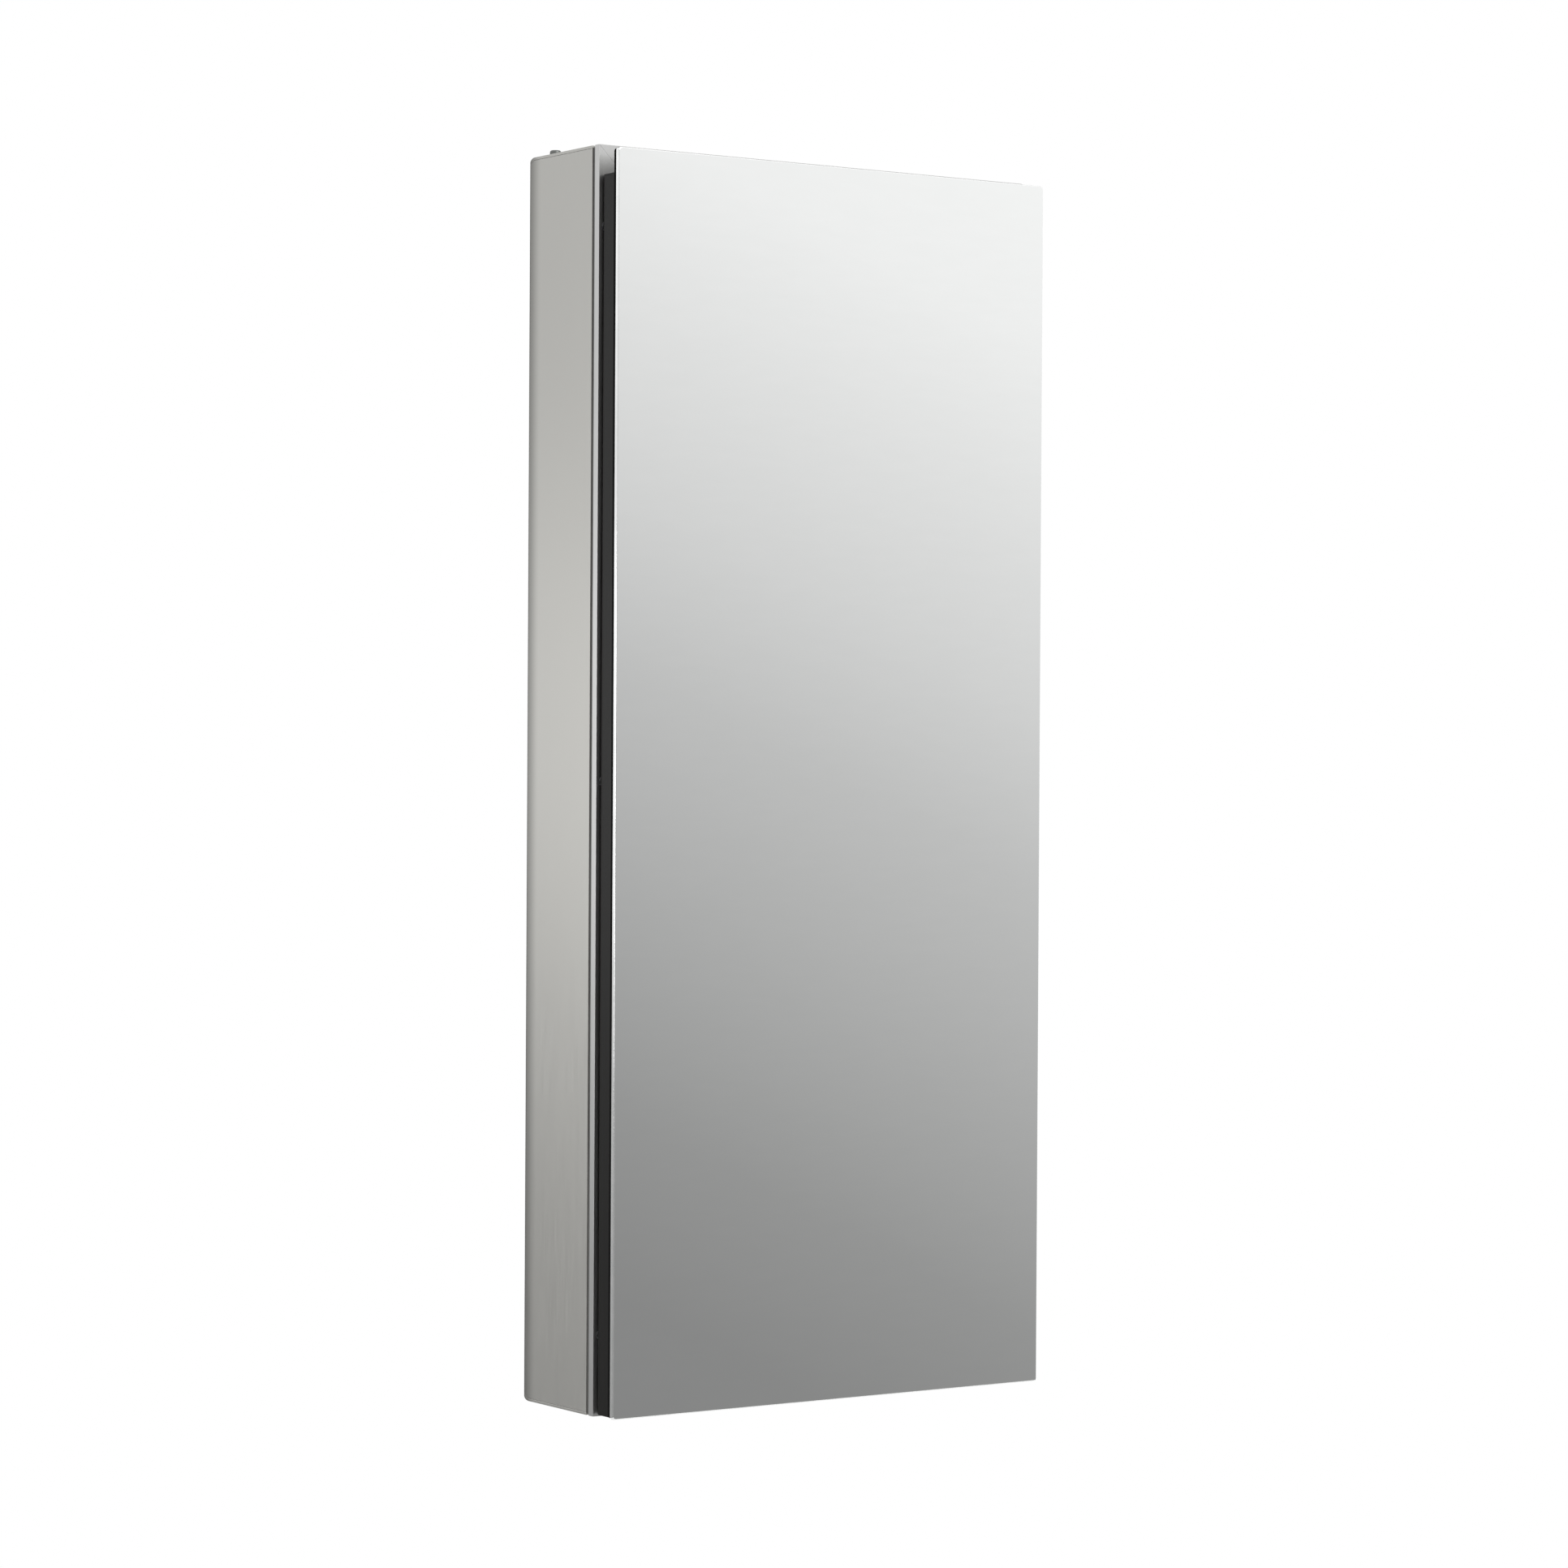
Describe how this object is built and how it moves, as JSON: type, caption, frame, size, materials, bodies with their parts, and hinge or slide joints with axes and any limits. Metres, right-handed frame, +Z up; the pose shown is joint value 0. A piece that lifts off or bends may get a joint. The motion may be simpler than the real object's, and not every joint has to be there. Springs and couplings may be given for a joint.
{
  "type": "medicine cabinet with mirror",
  "caption": "Tall slim wall cabinet with a frameless mirrored door on pivots, satin metal sides and glass shelves inside.",
  "frame": {"origin": "middle of the rectangle of the four wall fixing holes, on the wall plane (the rear face of the back panel)", "axes": "+X to the viewer's right along the width, +Y into the wall, +Z up along the height; the mirror faces -Y"},
  "size_m": [0.381, 0.127, 0.9208],
  "materials": {
    "case_aluminium": "satin anodised aluminium, fine grain along the extrusion",
    "kit_aluminium": "satin anodised aluminium, fine upright brushing, slightly warm",
    "track_aluminium": "satin anodised",
    "mirror_glass": "silvered float glass with a polished edge",
    "shelf_glass": "clear tempered glass, polished edge",
    "black_frame": "matt black powder coat on a folded channel",
    "black_rubber": "matt black extruded gasket",
    "zinc_steel": "bright zinc plating",
    "stainless": "satin stainless steel",
    "clip_plastic": "translucent moulded plastic",
    "white_nylon": "natural white nylon",
    "core_board": "medium-density fibreboard, sealed brown",
    "foam_tape": "white foam mounting tape",
    "backing_board": "black rigid foam board",
    "clear_bumper": "clear soft polyurethane",
    "catch_plastic": "light grey moulded plastic",
    "magnet": "dark sintered ferrite"
  },
  "bodies": {
    "cabinet": {"back_mirror": "mirror_glass", "back_panel": "case_aluminium", "bottom_panel": "kit_aluminium", "bottom_pivot_pin": "stainless", "bracket_screws": "stainless", "case_wall_bottom": "case_aluminium", "case_wall_left": "case_aluminium", "case_wall_right": "case_aluminium", "case_wall_top": "case_aluminium", "catch_housing": "catch_plastic", "catch_magnet": "magnet", "catch_pole_lower": "zinc_steel", "catch_pole_upper": "zinc_steel", "corner_blocks": "zinc_steel", "corner_keys": "zinc_steel", "door_bumpers": "clear_bumper", "groove_gasket": "black_rubber", "panel_brackets_left": "zinc_steel", "panel_brackets_right": "zinc_steel", "panel_screws": "stainless", "pin_barrel": "zinc_steel", "pivot_bracket_bottom": "zinc_steel", "pivot_bracket_top": "zinc_steel", "pivot_spring": "stainless", "shelf_clips_lower": "clip_plastic", "shelf_clips_middle": "clip_plastic", "shelf_clips_upper": "clip_plastic", "shelf_track_left_front": "track_aluminium", "shelf_track_left_rear": "track_aluminium", "shelf_track_right_front": "track_aluminium", "shelf_track_right_rear": "track_aluminium", "side_panel_left": "kit_aluminium", "side_panel_right": "kit_aluminium", "top_panel": "kit_aluminium", "track_screws": "stainless"},
    "door": {"front_mirror": "mirror_glass", "stile_plug": "black_rubber", "mirror_backing": "backing_board", "door_stile_left": "black_frame", "door_stile_right": "black_frame", "door_rail_top": "black_frame", "door_rail_bottom": "black_frame", "door_core_board": "core_board", "inner_door_mirror": "mirror_glass", "mounting_tape": "foam_tape", "door_screws": "stainless", "pivot_bush_top": "white_nylon", "pivot_bush_bottom": "white_nylon", "strike_plate": "zinc_steel"},
    "pivot_pin": {"top_pivot_pin": "stainless"},
    "shelf_lower": {"glass_shelf_lower": "shelf_glass"},
    "shelf_middle": {"glass_shelf_middle": "shelf_glass"},
    "shelf_upper": {"glass_shelf_upper": "shelf_glass"}
  },
  "joints": [
    {"name": "door_hinge", "type": "hinge", "parent": "cabinet", "child": "door", "pos_m": [0.1825, -0.113, 0], "axis": [0, 0, 1], "range_deg": [0, 105]},
    {"name": "pivot_pin_slide", "type": "slide", "parent": "cabinet", "child": "pivot_pin", "axis": [0, 0, 1], "range_m": [0, 0.0041], "stiffness_N_per_m": 300, "springref_m": -0.006, "deforming": ["pivot_spring"]},
    {"name": "shelf_lower_lift", "type": "slide", "parent": "cabinet", "child": "shelf_lower", "axis": [0, 0, 1], "range_m": [0, 0.18]},
    {"name": "shelf_middle_lift", "type": "slide", "parent": "cabinet", "child": "shelf_middle", "axis": [0, 0, 1], "range_m": [0, 0.18]},
    {"name": "shelf_upper_lift", "type": "slide", "parent": "cabinet", "child": "shelf_upper", "axis": [0, 0, 1], "range_m": [0, 0.18]}
  ]
}
